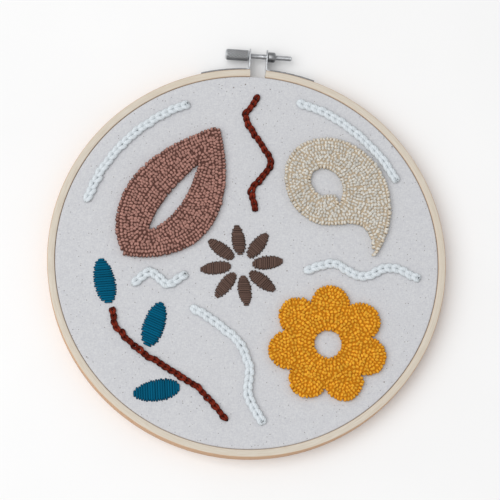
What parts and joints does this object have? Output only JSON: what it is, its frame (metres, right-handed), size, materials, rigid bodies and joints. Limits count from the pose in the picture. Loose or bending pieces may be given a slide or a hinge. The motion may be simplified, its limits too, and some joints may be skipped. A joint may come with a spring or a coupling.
{
  "type": "hoop embroidery art of stitched cloth in a wooden embroidery hoop",
  "caption": "Round of cotton cloth worked in looped pile, satin stitch and chain stitch, held stretched in a wooden embroidery hoop with a tightening screw.",
  "frame": {"origin": "under the middle of the bounding box, in the plane of the rings' back faces; the hoop's own centre lies at y = -6.65 mm", "axes": "+Z out of the worked face, which is looked at; +Y from the hoop's middle to its tightening screw; +X to the right as it hangs"},
  "size_m": [0.209, 0.2222, 0.0132],
  "materials": {
    "wood": "pale sanded beech or bamboo strip, clear matt finish",
    "cloth": "plain-woven cotton in off-white with small dark seed flecks",
    "steel": "bright plated steel, slightly dulled",
    "yarn_mustard": "mustard yellow yarn, looped pile",
    "yarn_pink": "dusty pink yarn, looped pile",
    "yarn_beige": "light beige yarn, looped pile",
    "thread_teal": "teal thread in satin stitch, soft sheen",
    "thread_brown": "dark brown thread in satin stitch, soft sheen",
    "yarn_rust": "rust brown yarn in chain stitch",
    "yarn_white": "thick bluish-white yarn in chain stitch"
  },
  "bodies": {
    "hoop": {"inner_ring": "wood", "outer_ring": "wood", "cloth": "cloth", "strap_left": "steel", "strap_right": "steel", "rivet_left": "steel", "rivet_right": "steel", "nut": "steel", "pile_flower": "yarn_mustard", "pile_leaf": "yarn_pink", "pile_paisley": "yarn_beige", "leaf_lower": "thread_teal", "leaf_upper": "thread_teal", "leaf_end": "thread_teal", "petal_1": "thread_brown", "petal_2": "thread_brown", "petal_3": "thread_brown", "petal_4": "thread_brown", "petal_5": "thread_brown", "petal_6": "thread_brown", "petal_7": "thread_brown", "petal_8": "thread_brown", "chain_stem": "yarn_rust", "chain_tendril": "yarn_rust", "chain_wave": "yarn_white", "chain_scroll": "yarn_white", "chain_ripple": "yarn_white", "chain_left_arc": "yarn_white", "chain_right_arc": "yarn_white"},
    "screw": {"screw": "steel"}
  },
  "joints": [
    {"name": "screw_turn", "type": "hinge", "parent": "hoop", "child": "screw", "pos_m": [0, 0.10715, 0.005], "axis": [1, 0, 0], "continuous": true}
  ]
}
